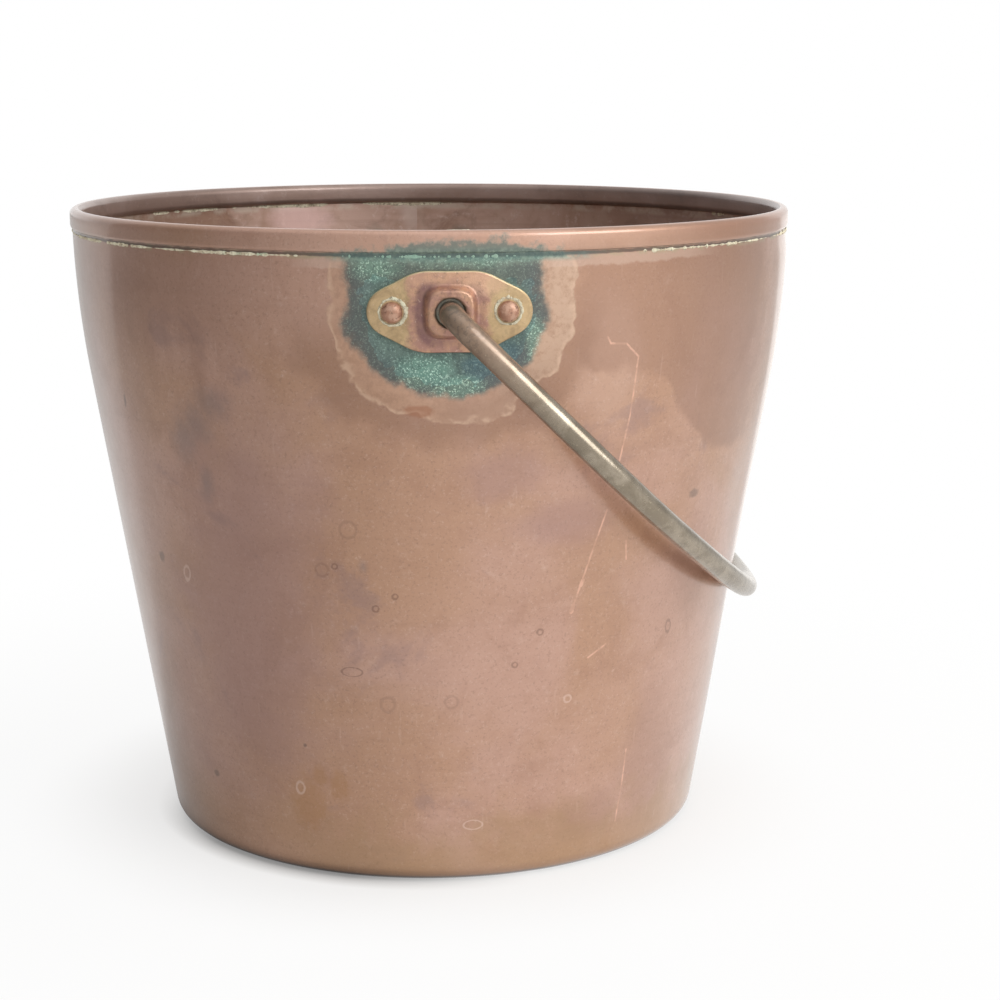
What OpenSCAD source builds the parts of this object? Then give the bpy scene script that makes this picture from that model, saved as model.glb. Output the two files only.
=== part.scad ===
// Round copper pail: spun body with a wired rim, two riveted brass ears and a swinging wire bail.
// The origin is the centre of the base on the floor, +Z up. The ears lie on the Y axis.

/* [Body] */
// Outer diameter over the rolled rim
rim_d = 240; // [210:1:290]
// Height from the floor to the top of the rim
pail_h = 207.4; // [170:0.2:250]
// Diameter of the cone where its side meets the floor line, before the corner is rounded
base_d = 180.4; // [150:0.2:218]
// Thickness of the copper sheet
sheet_t = 0.9; // [0.6:0.1:1.4]
// Outer radius of the corner between the base and the wall
base_corner_r = 5; // [3:0.5:9]
// Height of the curved collar that joins the cone to the rim
collar_h = 47; // [40:1:70]
// Outward lean of the wall just below the rim, in mm per mm of height
collar_lean = 0.02; // [0:0.01:0.08]

/* [Rim] */
// Height of the rolled bead
bead_h = 7.2; // [5.6:0.2:9]
// Width of the rolled bead
bead_w = 4; // [3.2:0.1:5]
// How far the bead stands out past the wall below it
bead_proud = 0.7; // [0.5:0.1:1.2]
// Width of the groove between the wall and the tucked edge of the sheet
hem_gap = 0.25; // [0.15:0.05:0.4]

/* [Ears] */
// Distance from the top of the rim down to the bail holes
ear_drop = 23.4; // [20.5:0.2:32]
// Thickness of the ear plate
ear_t = 1.6; // [1:0.1:2.4]
// Height of the ear plate at its middle
ear_h = 23.5; // [21:0.5:26]
// Length of the straight top and bottom edges
ear_flat = 19; // [14:0.5:22]
// Radius of the rounded ends
ear_end_r = 7.3; // [6:0.1:9]
// Distance between the two rivets of an ear
rivet_pitch = 33.6; // [31:0.2:40]
// Width and height of the raised pad round the bail hole
pad_w = 16; // [15.6:0.2:18]
// How far the pad stands out from the plate
pad_rise = 3; // [2.6:0.1:4]
// Thickness of the metal across the top of the pad
pad_t = 1.8; // [1.2:0.1:2.2]
// Lean of the pad's sides, in mm per mm of rise
pad_lean = 0.35; // [0.1:0.05:0.6]
// Rounding of the pad's edges
pad_round = 1.2; // [0.6:0.1:1.6]
// Radius of the pad's four corners, seen from in front
pad_corner_r = 3.2; // [2:0.1:5]

/* [Rivets] */
// Diameter of the rivet shanks
rivet_d = 3.6; // [3:0.1:4.4]
// Diameter of the domed heads
rivet_head_d = 6.6; // [5.8:0.1:8]
// Height of the domed heads
rivet_head_h = 2.4; // [1.6:0.1:3]
// Diameter of the clinched tails inside the pail
rivet_tail_d = 5.6; // [4.8:0.1:7]
// Height of the clinched tails
rivet_tail_h = 1.3; // [0.8:0.1:2]

/* [Bail] */
// Diameter of the bail wire
bail_wire_d = 7.2; // [5:0.1:8.8]
// Clearance of the wire in its holes, on the diameter
bail_hole_clear = 1.3; // [0.6:0.1:2]
// Distance from the face of an ear's pad out to the centre of the bail's arm
arm_standoff = 9.8; // [8.5:0.1:14]
// Radius of the bend between the arm and its end, at the centre of the wire
elbow_r = 7; // [5.5:0.1:8]
// How far the middle of the bail reaches past the rim when it is level
bail_past_rim = 30; // [24:1:50]
// Radius of the bail's shoulders, at the centre of the wire
shoulder_r = 62; // [40:1:80]
// Gap between the resting bail and the wall
rest_gap = 0.3; // [0.2:0.1:1]
// How much wider than the wire its flattened ends behind the pads are
end_spread = 3.8; // [2.8:0.1:4.4]
// Clearance round and behind the flattened ends
end_clear = 0.4; // [0.3:0.1:0.6]

/* [Hidden] */
$fn = 96;

COPPER = [0.62, 0.44, 0.36];
BRASS = [0.66, 0.55, 0.34];
STEEL = [0.45, 0.43, 0.41];
DULL_BRASS = [0.58, 0.53, 0.43];

collar_steps = 12;      // straight bands that make up the curved collar
arc_steps = 8;          // straight pieces along one rounded corner of a profile
spot_depth = 0.2;       // depth of the flat that each rivet head sits on
over = 1;               // how far a cutting shape runs past what it cuts

rim_r = rim_d / 2;
bead_z0 = pail_h - bead_h;
collar_r = rim_r - bead_proud;
collar_z0 = bead_z0 - collar_h;
// Lean of the cone, so that the cone and the collar together run from the base to the bead
cone_lean = (collar_r - base_d / 2 - collar_lean * collar_h / 2) / (collar_z0 + collar_h / 2);
cone_angle = atan(cone_lean);
sheet_across = sheet_t / cos(cone_angle);   // the sheet's thickness measured along a radius

// Outer radius of the wall at height z
function wall_r(z) = base_d / 2 + cone_lean * z
    - (z > collar_z0 ? (cone_lean - collar_lean) * pow(z - collar_z0, 2) / (2 * collar_h) : 0);
function wall_in_r(z) = wall_r(z) - sheet_across;
// Heights of the bands of the collar, from the top of the cone to the bead
collar_zs = [for (i = [0:collar_steps]) collar_z0 + collar_h * i / collar_steps];
function arc_points(centre, r, from, to) =
    [for (i = [0:arc_steps]) let (a = from + (to - from) * i / arc_steps)
        centre + r * [cos(a), sin(a)]];
function backwards(points) = [for (i = [len(points) - 1:-1:0]) points[i]];

corner_centre = [base_d / 2 + (cone_lean - 1 / cos(cone_angle)) * base_corner_r, base_corner_r];

bead_r = bead_w / 2;
bead_centre_r = rim_r - bead_r;

ear_z = pail_h - ear_drop;
ear_face_r = wall_r(ear_z) + ear_t;
pad_face_y = ear_face_r + pad_rise;
rivet_x = rivet_pitch / 2;
rivet_turn = asin(rivet_x / ear_face_r);
rivet_seat_r = ear_face_r - spot_depth;
tail_r = rivet_tail_d / 2;
// The tail's flat face touches the inside of the wall at its lower edge
tail_seat_r = sqrt(pow(wall_in_r(ear_z - tail_r), 2) - pow(tail_r, 2));

bail_r = bail_wire_d / 2;
bail_hole_r = bail_r + bail_hole_clear / 2;
bail_end_d = bail_wire_d + end_spread;
pocket_r = bail_end_d / 2 + end_clear;
// The flattened end lies between the wall and the roof of the pocket
end_y0 = round((wall_r(ear_z + bail_end_d / 2) + end_clear) * 100) / 100;
end_y1 = pad_face_y - pad_t - end_clear;
arm_y = round((pad_face_y + arm_standoff) * 10) / 10;
bail_reach = rim_r + bail_past_rim;
// The crown meets each shoulder on a line that rises 4 in 3 from the middle of the crown's arc
crown_half_angle = atan2(4, 3);
crown_r = shoulder_r + (arm_y - shoulder_r) * 5 / 4;
crown_x = bail_reach - crown_r;
shoulder_centre = [crown_x + (crown_r - shoulder_r) * 3 / 5, arm_y - shoulder_r];
// Angle below level at which the middle of the bail lies against the cone
rest_angle = cone_angle + acos(((base_d / 2 + cone_lean * ear_z) * cos(cone_angle)
    + bail_r + rest_gap) / bail_reach);

// Upright oval with round ends, centred on the bead
module bead_oval(r) {
    z0 = bead_z0 + bead_r;
    z1 = pail_h - bead_r;
    translate([bead_centre_r, z0]) circle(r);
    translate([bead_centre_r, z1]) circle(r);
    translate([bead_centre_r - r, z0]) square([2 * r, z1 - z0]);
}

// Section of the base, cone and collar as one bent sheet
module sheet_profile() {
    outside = concat(
        arc_points(corner_centre, base_corner_r, -90, -cone_angle),
        [for (z = collar_zs) [wall_r(z), z]],
        [[collar_r, bead_z0 + sheet_t]]);
    inside = concat(
        arc_points(corner_centre, base_corner_r - sheet_t, -90, -cone_angle),
        [for (z = collar_zs) [wall_in_r(z), z]],
        [[collar_r - sheet_across, bead_z0 + sheet_t]]);
    polygon(concat([[0, 0]], outside, backwards(inside), [[0, sheet_t]]));
}

// Point on an ear's rounded end where the slanted edge meets it
function ear_tangent() =
    let (corner = [ear_flat / 2 - rivet_x, ear_h / 2],
         a = atan2(corner[1], corner[0]) - acos(ear_end_r / norm(corner)))
    [rivet_x + ear_end_r * cos(a), ear_end_r * sin(a)];

module ear_outline() {
    t = ear_tangent();
    c = [ear_flat / 2, ear_h / 2];
    polygon([t, c, [-c[0], c[1]], [-t[0], t[1]], -t, -c, [c[0], -c[1]], [t[0], -t[1]]]);
    for (s = [-1, 1]) translate([s * rivet_x, 0]) circle(ear_end_r);
}

// Section of the pad: straight leaning sides and rounded shoulders, y outwards
module pad_section(depth) {
    side = atan(pad_lean);
    half = pad_w / 2 - pad_lean * pad_rise;
    c = half - pad_round * (1 / cos(side) - tan(side));
    shoulder = arc_points([c, depth - pad_round], pad_round, side, 90);
    mirrored = [for (p = backwards(shoulder)) [-p[0], p[1]]];
    foot = pad_w / 2 + pad_lean * (depth - pad_rise);
    polygon(concat([[foot, 0]], shoulder, mirrored, [[-foot, 0]]));
}

// Raised block round the bail hole, from inside the wall out to the pad's face
module pad_block() {
    depth = ear_t + pad_rise + over;
    back_y = ear_face_r - ear_t - over;
    translate([0, -back_y, ear_z]) intersection() {
        translate([0, 0, -pad_w]) linear_extrude(2 * pad_w) mirror([0, 1]) pad_section(depth);
        translate([-pad_w, 0, 0]) rotate([0, 90, 0])
            linear_extrude(2 * pad_w) mirror([0, 1]) pad_section(depth);
        rotate([90, 0, 0]) linear_extrude(depth + over) {
            square([pad_w, pad_w - 2 * pad_corner_r], center = true);
            square([pad_w - 2 * pad_corner_r, pad_w], center = true);
            for (x = [-1, 1], y = [-1, 1])
                translate([x, y] * (pad_w / 2 - pad_corner_r)) circle(pad_corner_r);
        }
    }
}

// Everything inside the outer face of the wall over the height of the ears
module wall_core() {
    rotate_extrude() polygon(concat(
        [[0, collar_z0]], [for (z = collar_zs) [wall_r(z), z]], [[0, bead_z0]]));
}

// Places its children on the radius through a rivet of the front ear, z outwards
module on_rivet(side, r) {
    rotate([0, 0, side * rivet_turn]) translate([0, -r, ear_z]) rotate([90, 0, 0]) children();
}

module ear() {
    difference() {
        union() {
            intersection() {
                translate([0, 0, ear_z]) rotate([90, 0, 0]) linear_extrude(rim_r) ear_outline();
                rotate_extrude() polygon(concat(
                    [for (z = collar_zs) [wall_r(z), z]],
                    backwards([for (z = collar_zs) [wall_r(z) + ear_t, z]])));
            }
            difference() {
                pad_block();
                wall_core();
            }
        }
        translate([0, 0, ear_z]) rotate([90, 0, 0]) cylinder(r = bail_hole_r, h = pad_face_y + over);
        translate([0, 0, ear_z]) rotate([90, 0, 0]) cylinder(r = pocket_r, h = pad_face_y - pad_t);
        for (side = [-1, 1]) {
            on_rivet(side, 0) cylinder(d = rivet_d, h = rim_r + over);
            on_rivet(side, rivet_seat_r) cylinder(d = rivet_head_d, h = ear_t);
        }
    }
}

// Part of a ball, flat side down on z = 0
module dome(d, h) {
    ball_r = (d * d / 4 + h * h) / (2 * h);
    intersection() {
        translate([0, 0, h - ball_r]) sphere(ball_r);
        cylinder(d = 3 * d, h = 2 * h);
    }
}

module rivet(side) {
    // The shank runs on into both heads, so that the three make one solid at any size
    from = tail_seat_r - rivet_tail_h / 4;
    to = rivet_seat_r + rivet_head_h / 4;
    on_rivet(side, rivet_seat_r) dome(rivet_head_d, rivet_head_h);
    on_rivet(side, from) cylinder(d = rivet_d, h = to - from);
    on_rivet(side, tail_seat_r) mirror([0, 0, 1]) dome(rivet_tail_d, rivet_tail_h);
}

// Bent stretch of wire about the origin, starting at one angle and turning by another
module wire_bend(r, from, turn) {
    rotate([0, 0, from]) mirror([0, turn < 0 ? 1 : 0])
        rotate_extrude(angle = abs(turn)) translate([r, 0]) circle(bail_r);
}

// One half of the bail, lying level, from its flattened end to the middle of the crown
module bail_side() {
    translate([0, end_y0, 0]) rotate([-90, 0, 0]) {
        cylinder(r = bail_r, h = arm_y - elbow_r - end_y0);
        cylinder(d = bail_end_d, h = end_y1 - end_y0);
    }
    translate([elbow_r, arm_y - elbow_r, 0]) wire_bend(elbow_r, 90, 90);
    translate([elbow_r, arm_y, 0]) rotate([0, 90, 0])
        cylinder(r = bail_r, h = shoulder_centre[0] - elbow_r);
    translate(shoulder_centre) wire_bend(shoulder_r, crown_half_angle, 90 - crown_half_angle);
    intersection() {
        translate([crown_x, 0, 0]) wire_bend(crown_r, crown_half_angle, -crown_half_angle - over);
        translate([0, 0, -bail_wire_d]) cube([2 * bail_reach, arm_y, 2 * bail_wire_d]);
    }
}

module pail_body() {
    color(COPPER) difference() {
        rotate_extrude() {
            sheet_profile();
            difference() {
                bead_oval(bead_r);
                bead_oval(bead_r - sheet_t);
                translate([collar_r, bead_z0 - over]) square([hem_gap, over + 2 * sheet_t]);
            }
        }
        for (turn = [0, 180], side = [-1, 1])
            rotate([0, 0, turn]) on_rivet(side, 0) cylinder(d = rivet_d, h = rim_r + over);
    }
}

module rim_wire() {
    color(STEEL) rotate_extrude() bead_oval(bead_r - sheet_t);
}

module front_ear() {
    color(BRASS) ear();
}

module back_ear() {
    color(BRASS) rotate([0, 0, 180]) ear();
}

module front_left_rivet() {
    color(COPPER) rivet(-1);
}

module front_right_rivet() {
    color(COPPER) rivet(1);
}

module back_left_rivet() {
    color(COPPER) rotate([0, 0, 180]) rivet(1);
}

module back_right_rivet() {
    color(COPPER) rotate([0, 0, 180]) rivet(-1);
}

module bail() {
    color(DULL_BRASS) translate([0, 0, ear_z]) rotate([0, rest_angle, 0]) {
        bail_side();
        mirror([0, 1, 0]) bail_side();
    }
}

pail_body();
rim_wire();
front_ear();
back_ear();
front_left_rivet();
front_right_rivet();
back_left_rivet();
back_right_rivet();
bail();
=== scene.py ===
"""An old copper pail with riveted brass ears and a brass wire bail, on a pale studio floor."""

import math

import bpy
import numpy as np
from mathutils import Matrix, Vector


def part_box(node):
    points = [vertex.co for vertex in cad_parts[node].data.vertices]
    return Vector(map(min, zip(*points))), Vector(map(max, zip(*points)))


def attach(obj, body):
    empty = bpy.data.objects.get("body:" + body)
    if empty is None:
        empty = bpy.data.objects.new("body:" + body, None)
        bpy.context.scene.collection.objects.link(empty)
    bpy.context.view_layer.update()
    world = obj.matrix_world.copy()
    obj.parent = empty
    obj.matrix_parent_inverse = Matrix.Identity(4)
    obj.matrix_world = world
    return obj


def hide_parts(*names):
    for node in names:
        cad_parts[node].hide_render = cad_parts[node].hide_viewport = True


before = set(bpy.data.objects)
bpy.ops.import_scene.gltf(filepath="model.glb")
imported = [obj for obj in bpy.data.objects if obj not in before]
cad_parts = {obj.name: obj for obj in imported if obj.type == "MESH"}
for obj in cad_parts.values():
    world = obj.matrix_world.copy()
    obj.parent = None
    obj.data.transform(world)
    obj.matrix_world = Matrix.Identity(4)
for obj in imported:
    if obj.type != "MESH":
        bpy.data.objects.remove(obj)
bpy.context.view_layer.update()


# ---------------------------------------------------------------- sizes, in millimetres
MM = 0.001
body_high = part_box("pail_body")[1] / MM
RIM_R = body_high[0]
HEIGHT = body_high[2]
BASE_R = 90.2
SHEET = 0.9
CORNER_R = 5.0
BEAD_H = 7.2
BEAD_R = 2.0
BEAD_PROUD = 0.7
HEM_GAP = 0.25
COLLAR_H = 47.0
COLLAR_LEAN = 0.02

EAR_DROP = 23.4
EAR_T = 1.6
EAR_H = 23.5
EAR_FLAT = 19.0
EAR_END_R = 7.3
RIVET_X = 16.8
PAD_HALF = 8.0
PAD_RISE = 3.0
PAD_T = 1.8
HOLE_R = 4.25
RIVET_HEAD_R = 3.3
RIVET_HEAD_H = 2.4
RIVET_TAIL_R = 2.8
RIVET_TAIL_H = 1.3

WIRE_R = 3.6
ARM_STANDOFF = 9.8
ELBOW_R = 7.0
SHOULDER_R = 62.0
BAIL_PAST_RIM = 30.0
END_R = 5.5
END_CLEAR = 0.4
REST_GAP = 0.3

BEAD_Z = HEIGHT - BEAD_H
BEAD_CENTRE = RIM_R - BEAD_R
COLLAR_R = RIM_R - BEAD_PROUD
COLLAR_Z = BEAD_Z - COLLAR_H
LEAN = (COLLAR_R - BASE_R - COLLAR_LEAN * COLLAR_H / 2) / (COLLAR_Z + COLLAR_H / 2)
LEAN_ANGLE = math.atan(LEAN)
SHEET_ACROSS = SHEET / math.cos(LEAN_ANGLE)
EAR_Z = HEIGHT - EAR_DROP

# Outside, the rim's marks start above RIM_MARKS_Z, and an ear's above MARKS_Z and within MARKS_X of it
RIM_MARKS_Z = 190.0
MARKS_Z = 128.0
MARKS_X = 72.0


def wall_r(z):
    """Outer radius of the wall at height z, before any dent."""
    past = np.maximum(np.asarray(z, float) - COLLAR_Z, 0)
    return BASE_R + LEAN * np.asarray(z, float) - (LEAN - COLLAR_LEAN) * past**2 / (2 * COLLAR_H)


EAR_FACE_R = float(wall_r(EAR_Z)) + EAR_T
PAD_FACE = EAR_FACE_R + PAD_RISE
ARM_Y = round(PAD_FACE + ARM_STANDOFF, 1)
REACH = RIM_R + BAIL_PAST_RIM
REST_ANGLE = LEAN_ANGLE + math.acos(
    ((BASE_R + LEAN * EAR_Z) * math.cos(LEAN_ANGLE) + WIRE_R + REST_GAP) / REACH)


# ---------------------------------------------------------------- seeded noise
def lattice(ix, iy, iz, seed):
    """A repeatable number from 0 to 1 for each whole-number point."""
    h = ix * 374761393 + iy * 668265263 + iz * 2147483647 + seed * 1274126177
    h = (h ^ (h >> 13)) * 1274126177 & 0xFFFFFFFF
    h = (h ^ (h >> 16)) & 0xFFFFFFFF
    return h / 0xFFFFFFFF


def value_noise(p, seed):
    cell = np.floor(p).astype(np.int64)
    t = p - cell
    t = t * t * (3 - 2 * t)
    total = 0
    for dx in (0, 1):
        for dy in (0, 1):
            for dz in (0, 1):
                w = (np.abs(1 - dx - t[..., 0]) * np.abs(1 - dy - t[..., 1])
                     * np.abs(1 - dz - t[..., 2]))
                total = total + w * lattice(cell[..., 0] + dx, cell[..., 1] + dy, cell[..., 2] + dz, seed)
    return total


def fractal(p, size, octaves=4, seed=1):
    """Layered noise from 0 to 1 whose largest features are `size` mm across."""
    p = np.asarray(p, float) / size
    total, weight = 0, 0
    for k in range(octaves):
        total = total + value_noise(p * 2**k, seed + k) / 2**k
        weight += 1 / 2**k
    return total / weight


def smooth(value, lo, hi):
    t = np.clip((value - lo) / (hi - lo), 0, 1)
    return t * t * (3 - 2 * t)


# ---------------------------------------------------------------- meshes
def grid(name, points, wrap=False, caps=(False, False), keep=None):
    """A mesh of quads over a rows x columns array of points in mm. wrap joins the last column to the
    first, caps closes the first and the last row, and keep says which points are worth a face."""
    rows, cols = points.shape[:2]
    across = cols if wrap else cols - 1
    i, j = np.meshgrid(np.arange(rows - 1), np.arange(across), indexing="ij")
    k = (j + 1) % cols
    quads = np.stack([i * cols + j, i * cols + k, (i + 1) * cols + k, (i + 1) * cols + j], -1)
    quads = quads.reshape(-1, 4)
    if keep is not None:
        quads = quads[keep.reshape(-1)[quads].any(axis=1)]
        used, quads = np.unique(quads, return_inverse=True)
        points, quads = points.reshape(-1, 3)[used], quads.reshape(-1, 4)
    faces = quads.tolist()
    if caps[0]:
        faces.append(list(range(cols))[::-1])
    if caps[1]:
        faces.append([(rows - 1) * cols + n for n in range(cols)])
    mesh = bpy.data.meshes.new(name)
    mesh.from_pydata((points.reshape(-1, 3) * MM).tolist(), [], faces)
    mesh.polygons.foreach_set("use_smooth", [True] * len(mesh.polygons))
    mesh.update()
    piece = bpy.data.objects.new(name, mesh)
    bpy.context.collection.objects.link(piece)
    return piece


def turned(r, z, angles):
    """Points at radius r and height z, arrays that broadcast, at angles measured from the front."""
    return np.stack([r * np.sin(angles), -r * np.cos(angles), z + 0 * angles], -1)


def arc(centre, r, start, end, steps):
    a = np.radians(np.linspace(start, end, steps + 1))
    return np.stack([centre[0] + r * np.cos(a), centre[1] + r * np.sin(a)], -1)


def place(piece, body, material, stands_for=()):
    piece.data.materials.append(material)
    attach(piece, body)
    if stands_for:
        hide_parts(*stands_for)
    return piece


# ---------------------------------------------------------------- the pail
# Dings in the copper: angle from the front in degrees, height, radius and depth in mm
DINGS = [(17, 6, 6, 0.5), (34, 8.5, 5, 0.5), (-52, 62, 15, 0.5), (64, 118, 12, 0.35), (128, 44, 14, 0.7),
         (205, 120, 17, 0.8), (-104, 150, 13, 0.5), (-150, 20, 9, 0.7), (92, 24, 8, 0.5), (161, 170, 9, 0.4)]


def wear(angles, z):
    """How far the real sheet lies inside its ideal round shape, in mm."""
    angles = np.asarray(angles, float)
    ring = np.stack([np.sin(angles) * 100 + 0 * z, np.cos(angles) * 100 + 0 * z, z + 0 * angles], -1)
    depth = 0.35 * fractal(ring, 60, 3, 5)
    near_ear = 1 - smooth(np.abs(np.sin(angles)) * 115, 40, 75)
    depth = depth * (1 - near_ear * smooth(np.asarray(z, float), 130, 150))
    for degrees, height, radius, deep in DINGS:
        turn = (angles - math.radians(degrees) + math.pi) % (2 * math.pi) - math.pi
        gap = (turn * wall_r(height))**2 + (z - height)**2
        depth = depth + deep * np.exp(-gap / (0.5 * radius**2))
    # the sheet stands a little proud of round on the right, below the rim
    proud = smooth(z, 100, 155) * (1 - smooth(z, BEAD_Z - 9, BEAD_Z - 1))
    return depth - 0.9 * proud * np.exp(-((np.degrees(angles) - 92) / 32)**2)


def pail_profile():
    """Section of the pail as (radius, height), from the middle of the base outside, over the rim and
    back to the middle of the base inside, with the row where the inside starts."""
    corner = np.array([BASE_R + (LEAN - 1 / math.cos(LEAN_ANGLE)) * CORNER_R, CORNER_R])
    lean = math.degrees(LEAN_ANGLE)
    base_r = np.linspace(2, corner[0] - 3, 16)
    wall_z = np.linspace(CORNER_R + 2, BEAD_Z - 0.4, 62)
    lip = math.degrees(math.acos((COLLAR_R + HEM_GAP - BEAD_CENTRE) / BEAD_R))
    low, high = (BEAD_CENTRE, BEAD_Z + BEAD_R), (BEAD_CENTRE, HEIGHT - BEAD_R)
    outside = [
        np.stack([base_r, 0 * base_r], -1),
        arc(corner, CORNER_R, -90, -lean, 7),
        np.stack([wall_r(wall_z), wall_z], -1),
        [[COLLAR_R, BEAD_Z], [COLLAR_R, BEAD_Z + 1.5], [COLLAR_R + HEM_GAP, BEAD_Z + 1.5]],
        arc(low, BEAD_R, -lip, 0, 5),
        arc(high, BEAD_R, 0, 180, 18)]
    meet = COLLAR_R - SHEET_ACROSS - BEAD_CENTRE
    inside = [
        arc(low, BEAD_R, 180, 360 - math.degrees(math.acos(meet / BEAD_R)), 10),
        np.stack([wall_r(wall_z) - SHEET_ACROSS, wall_z], -1)[::-1],
        arc(corner, CORNER_R - SHEET, -90, -lean, 6)[::-1],
        np.stack([base_r, 0 * base_r + SHEET], -1)[::-1]]
    return np.vstack(outside), np.vstack(inside)


def make_pail(outside_look, upper_look, inside_look):
    outside, inside = pail_profile()
    profile = np.vstack([outside, inside])
    angles = np.linspace(0, 2 * math.pi, 400, endpoint=False)[None, :]
    r, z = profile[:, :1], profile[:, 1:]
    shift = wear(angles, z) * smooth(r, 40, 85)
    points = turned(r - shift, z, angles)
    pail = grid("pail_copper", points, wrap=True, caps=(True, True))
    place(pail, "pail", outside_look, ["pail_body"])
    pail.data.materials.append(upper_look)
    pail.data.materials.append(inside_look)
    by_ear = (z > MARKS_Z) & (np.abs(np.sin(angles)) * RIM_R < MARKS_X)
    index = np.where(by_ear | (z > RIM_MARKS_Z), 1, 0)
    index[len(outside) - 8:] = 2
    # each row of quads takes the row of points that it starts from, and the two caps come last
    pail.data.polygons.foreach_set("material_index", np.append(index[:-1], [0, 2]))
    return pail


# ---------------------------------------------------------------- ears and rivets
def ear_edge(a):
    """Distance from the bail hole to the ear's outline in direction a."""
    c, s = abs(math.cos(a)), abs(math.sin(a))
    corner = np.array([EAR_FLAT / 2 - RIVET_X, EAR_H / 2])
    tangent = math.atan2(corner[1], corner[0]) - math.acos(EAR_END_R / np.linalg.norm(corner))
    touch = np.array([RIVET_X + EAR_END_R * math.cos(tangent), EAR_END_R * math.sin(tangent)])
    best = EAR_H / 2 / s if s > 1e-9 and EAR_H / 2 / s * c <= EAR_FLAT / 2 else 0
    p, q = np.array([EAR_FLAT / 2, EAR_H / 2]), touch
    d = q - p
    det = c * -d[1] + s * d[0]
    if abs(det) > 1e-9:
        reach, along = (p[0] * -d[1] + p[1] * d[0]) / det, (c * p[1] - s * p[0]) / det
        if 0 <= along <= 1:
            best = max(best, reach)
    under = EAR_END_R**2 - (RIVET_X * s)**2
    if under >= 0 and math.atan2(s, c) <= math.atan2(touch[1], touch[0]) + 1e-6:
        best = max(best, RIVET_X * c + math.sqrt(under))
    return best


def ear_height(x, z, seed):
    """How far the ear's face stands out from the wall, in mm."""
    square = (np.abs(x)**3.4 + np.abs(z)**3.4)**(1 / 3.4)
    pad = smooth(-square, -PAD_HALF - 0.2, -PAD_HALF + 1.9)
    spot = np.stack([x, z, 0 * x], -1)
    worn = 0.3 * (fractal(spot, 4, 3, seed) - 0.6) + 0.12 * (fractal(spot, 1.3, 2, seed + 9) - 0.6)
    return EAR_T + (PAD_RISE - 0.16) * pad + np.minimum(worn, 0.1) * (0.25 + 0.75 * pad) - 0.1


def on_wall(x, z, out):
    """Points `out` mm off the wall in front, over x and z measured from the ear's middle."""
    r = wall_r(EAR_Z + z) + out
    return np.stack([x, -np.sqrt(r**2 - x**2), EAR_Z + z], -1)


def make_ear(name, node, turn, look, seed):
    angles = np.linspace(0, 2 * math.pi, 288, endpoint=False)
    edge = np.array([ear_edge(a) for a in angles])
    corner = smooth(np.abs(np.sin(angles)), 0.45, 0.7)
    edge = sum(np.roll(edge, k) for k in range(-3, 4)) / 7
    edge = edge + corner * (sum(np.roll(edge, k) for k in range(-9, 10)) / 19 - edge)
    edge = edge[None, :] - 0.04
    step = np.concatenate([[0, 0.15, 0.35, 0.6], np.linspace(1, 99, 42), [99.4, 99.65, 99.85, 100]]) / 100
    reach = HOLE_R + (edge - HOLE_R) * step[:, None]
    x, z = reach * np.cos(angles), reach * np.sin(angles)
    round_out, round_in = 0.45, 0.5
    from_edge = np.clip(1 - (edge - reach) / round_out, 0, 1)
    from_hole = np.clip(1 - (reach - HOLE_R) / round_in, 0, 1)
    out = ear_height(x, z, seed)
    out = out - round_out * (1 - np.sqrt(1 - from_edge**2)) - round_in * (1 - np.sqrt(1 - from_hole**2))
    face = on_wall(x, z, out)
    rim = on_wall(x[-1], z[-1], 0 * out[-1] - 0.05)[None]
    throat = on_wall(x[0], z[0], 0 * out[0] + EAR_T + PAD_RISE - PAD_T)[None]
    ear = grid(name, np.vstack([throat, face, rim]), wrap=True)
    ear.data.transform(Matrix.Rotation(turn, 4, "Z"))
    return place(ear, "pail", look, [node])


def rivet_matrix(side, turn, radius):
    """Places something that points along +Z on the radius through a rivet."""
    swing = side * math.asin(RIVET_X / EAR_FACE_R) + turn
    return (Matrix.Rotation(swing, 4, "Z") @ Matrix.Translation((0, -radius * MM, EAR_Z * MM))
            @ Matrix.Rotation(math.pi / 2, 4, "X"))


def make_rivet(name, node, side, turn, look, seed):
    length = EAR_FACE_R - 0.2 - float(wall_r(EAR_Z)) + SHEET_ACROSS
    t = np.radians(np.linspace(0, 90, 15))
    head = np.stack([RIVET_HEAD_R * np.cos(t)**0.8, RIVET_HEAD_H * np.sin(t)], -1)
    tail = np.stack([RIVET_TAIL_R * np.sin(t), -length - RIVET_TAIL_H * np.cos(t)], -1)
    profile = np.vstack([tail[1:], [[1.8, -length], [1.8, 0], [RIVET_HEAD_R - 0.1, 0]], head[:-1]])
    angles = np.linspace(0, 2 * math.pi, 64, endpoint=False)[None, :]
    r, z = profile[:, :1], profile[:, 1:]
    points = turned(r, z, angles)
    dent = fractal(points + seed * 10, 2.6, 3, seed) * 0.28
    points = points * (1 - dent / 3.3)[..., None]
    rivet = grid(name, points, wrap=True, caps=(True, True))
    rivet.data.transform(rivet_matrix(side, turn, EAR_FACE_R - 0.2))
    return place(rivet, "pail", look, [node])


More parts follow.
